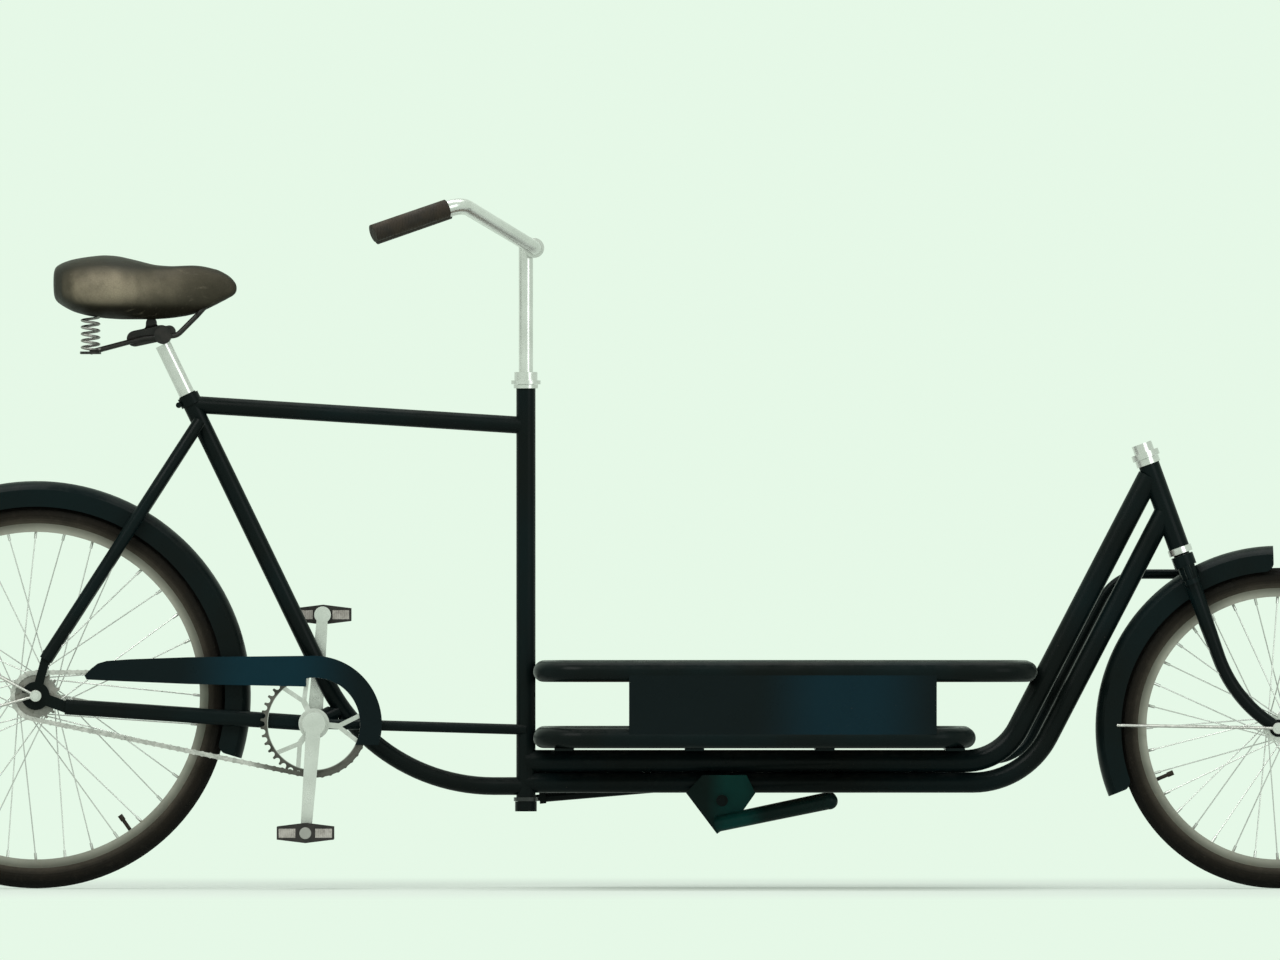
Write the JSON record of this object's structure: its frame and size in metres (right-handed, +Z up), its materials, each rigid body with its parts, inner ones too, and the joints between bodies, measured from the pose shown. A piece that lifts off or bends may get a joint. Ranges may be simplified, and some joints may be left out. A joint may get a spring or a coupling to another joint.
{
  "type": "cargo_bicycle",
  "caption": "Dark long cargo bicycle with a low railed load bed between the rider and a small front wheel, rod steering, sprung saddle and a fold-down stand",
  "frame": {"origin": "on the ground under the middle of the whole bicycle", "axes": "+X forward, +Y to the rider's left, +Z up"},
  "size_m": [2.522, 0.601, 1.0746],
  "materials": {
    "frame_paint": "satin, lightly worn",
    "bright_steel": "polished",
    "plain_steel": "dull",
    "rim_metal": "dulled",
    "tyre": "dusty",
    "grip": "matt",
    "leather": "worn",
    "board": "oiled",
    "pedal_block": "matt",
    "pedal_cage": "matt"
  },
  "bodies": {
    "frame": {"seat_tube": "frame_paint", "top_tube": "frame_paint", "seat_stays": "frame_paint", "chain_stays": "frame_paint", "bottom_bracket": "frame_paint", "brace_bars": "frame_paint", "column_tube": "frame_paint", "neck_upper_tube": "frame_paint", "neck_lower_tube": "frame_paint", "head_tube": "frame_paint", "upper_rail": "frame_paint", "lower_rail": "frame_paint", "cross_bars": "frame_paint", "floor_board": "board", "side_plates": "frame_paint", "chain_guard": "frame_paint", "rear_mudguard": "frame_paint", "rear_mudguard_stays": "plain_steel", "bearing_cups": "bright_steel", "bb_cups": "bright_steel", "seat_clamp": "frame_paint", "stand_bracket": "frame_paint", "rear_axle": "bright_steel", "brake_arm": "plain_steel", "chain": "plain_steel"},
    "steering": {"steering_shaft": "frame_paint", "column_nut": "bright_steel"},
    "bar": {"stem": "bright_steel", "handlebar": "bright_steel", "grips": "grip"},
    "rod_swivel_end": {"rod_end": "plain_steel"},
    "rod": {"steering_rod": "frame_paint"},
    "front_fork": {"fork": "frame_paint", "fork_nut": "bright_steel", "front_axle": "bright_steel", "front_mudguard": "frame_paint", "front_mudguard_stays": "plain_steel"},
    "front_wheel": {"front_hub": "bright_steel", "front_spokes": "bright_steel", "front_rim": "rim_metal", "front_tyre": "tyre", "front_valve": "plain_steel"},
    "rear_wheel": {"rear_hub": "bright_steel", "rear_spokes": "bright_steel", "rear_rim": "rim_metal", "rear_tyre": "tyre", "rear_valve": "plain_steel"},
    "sprocket": {"rear_sprocket": "plain_steel"},
    "crankset": {"crank_axle": "bright_steel", "chainring": "bright_steel", "crank_right": "bright_steel", "crank_left": "bright_steel"},
    "right_pedal": {"pedal_right": "pedal_cage", "pedal_blocks_right": "pedal_block"},
    "left_pedal": {"pedal_left": "pedal_cage", "pedal_blocks_left": "pedal_block"},
    "double_stand": {"stand": "frame_paint"},
    "seat": {"seat_post": "bright_steel", "saddle_frame": "plain_steel", "saddle_cover": "leather"}
  },
  "joints": [
    {"name": "steering_turn", "type": "hinge", "parent": "frame", "child": "steering", "pos_m": [-0.162, 0, 0.78], "axis": [0, 0, 1], "range_deg": [-30, 30]},
    {"name": "bar_height", "type": "slide", "parent": "steering", "child": "bar", "axis": [0, 0, 1], "range_m": [-0.04, 0.03]},
    {"name": "rod_swivel", "type": "hinge", "parent": "steering", "child": "rod_swivel_end", "pos_m": [-0.162, 0.076, 0.139], "axis": [0, 0, 1], "range_deg": [-31, 31]},
    {"name": "rod_pitch", "type": "hinge", "parent": "rod_swivel_end", "child": "rod", "pos_m": [-0.162, 0.076, 0.139], "axis": [0, 1, 0], "range_deg": [-0.75, 0.75]},
    {"name": "fork_turn", "type": "hinge", "parent": "frame", "child": "front_fork", "pos_m": [0.85691, 0, 0.53171], "axis": [-0.3404, 0, 0.9403], "range_deg": [-29, 29]},
    {"name": "front_wheel_spin", "type": "hinge", "parent": "front_fork", "child": "front_wheel", "pos_m": [1.011, 0, 0.25], "axis": [0, 1, 0], "continuous": true},
    {"name": "rear_wheel_spin", "type": "hinge", "parent": "frame", "child": "rear_wheel", "pos_m": [-0.926, 0, 0.3005], "axis": [0, 1, 0], "continuous": true},
    {"name": "crank_spin", "type": "hinge", "parent": "frame", "child": "crankset", "pos_m": [-0.4923, 0, 0.257], "axis": [0, 1, 0], "continuous": true, "deforming": ["chain"]},
    {"name": "sprocket_spin", "type": "hinge", "parent": "frame", "child": "sprocket", "pos_m": [-0.926, 0, 0.3005], "axis": [0, 1, 0], "continuous": true},
    {"name": "right_pedal_spin", "type": "hinge", "parent": "crankset", "child": "right_pedal", "pos_m": [-0.50475, 0, 0.08746], "axis": [0, 1, 0], "continuous": true},
    {"name": "left_pedal_spin", "type": "hinge", "parent": "crankset", "child": "left_pedal", "pos_m": [-0.47985, 0, 0.42654], "axis": [0, 1, 0], "continuous": true},
    {"name": "stand_fold", "type": "hinge", "parent": "frame", "child": "double_stand", "pos_m": [0.144, 0, 0.137], "axis": [0, 1, 0], "range_deg": [0, 100]},
    {"name": "seat_height", "type": "slide", "parent": "frame", "child": "seat", "axis": [-0.4352, 0, 0.9003], "range_m": [-0.05, 0.08]}
  ],
  "couplings": [
    {"joint": "rod_swivel", "follows": "steering_turn", "ratio": -1},
    {"joint": "rod_pitch", "follows": "steering_turn", "ratio": 0.0226},
    {"joint": "fork_turn", "follows": "steering_turn", "ratio": 0.94},
    {"joint": "sprocket_spin", "follows": "crank_spin", "ratio": 2.2222}
  ]
}
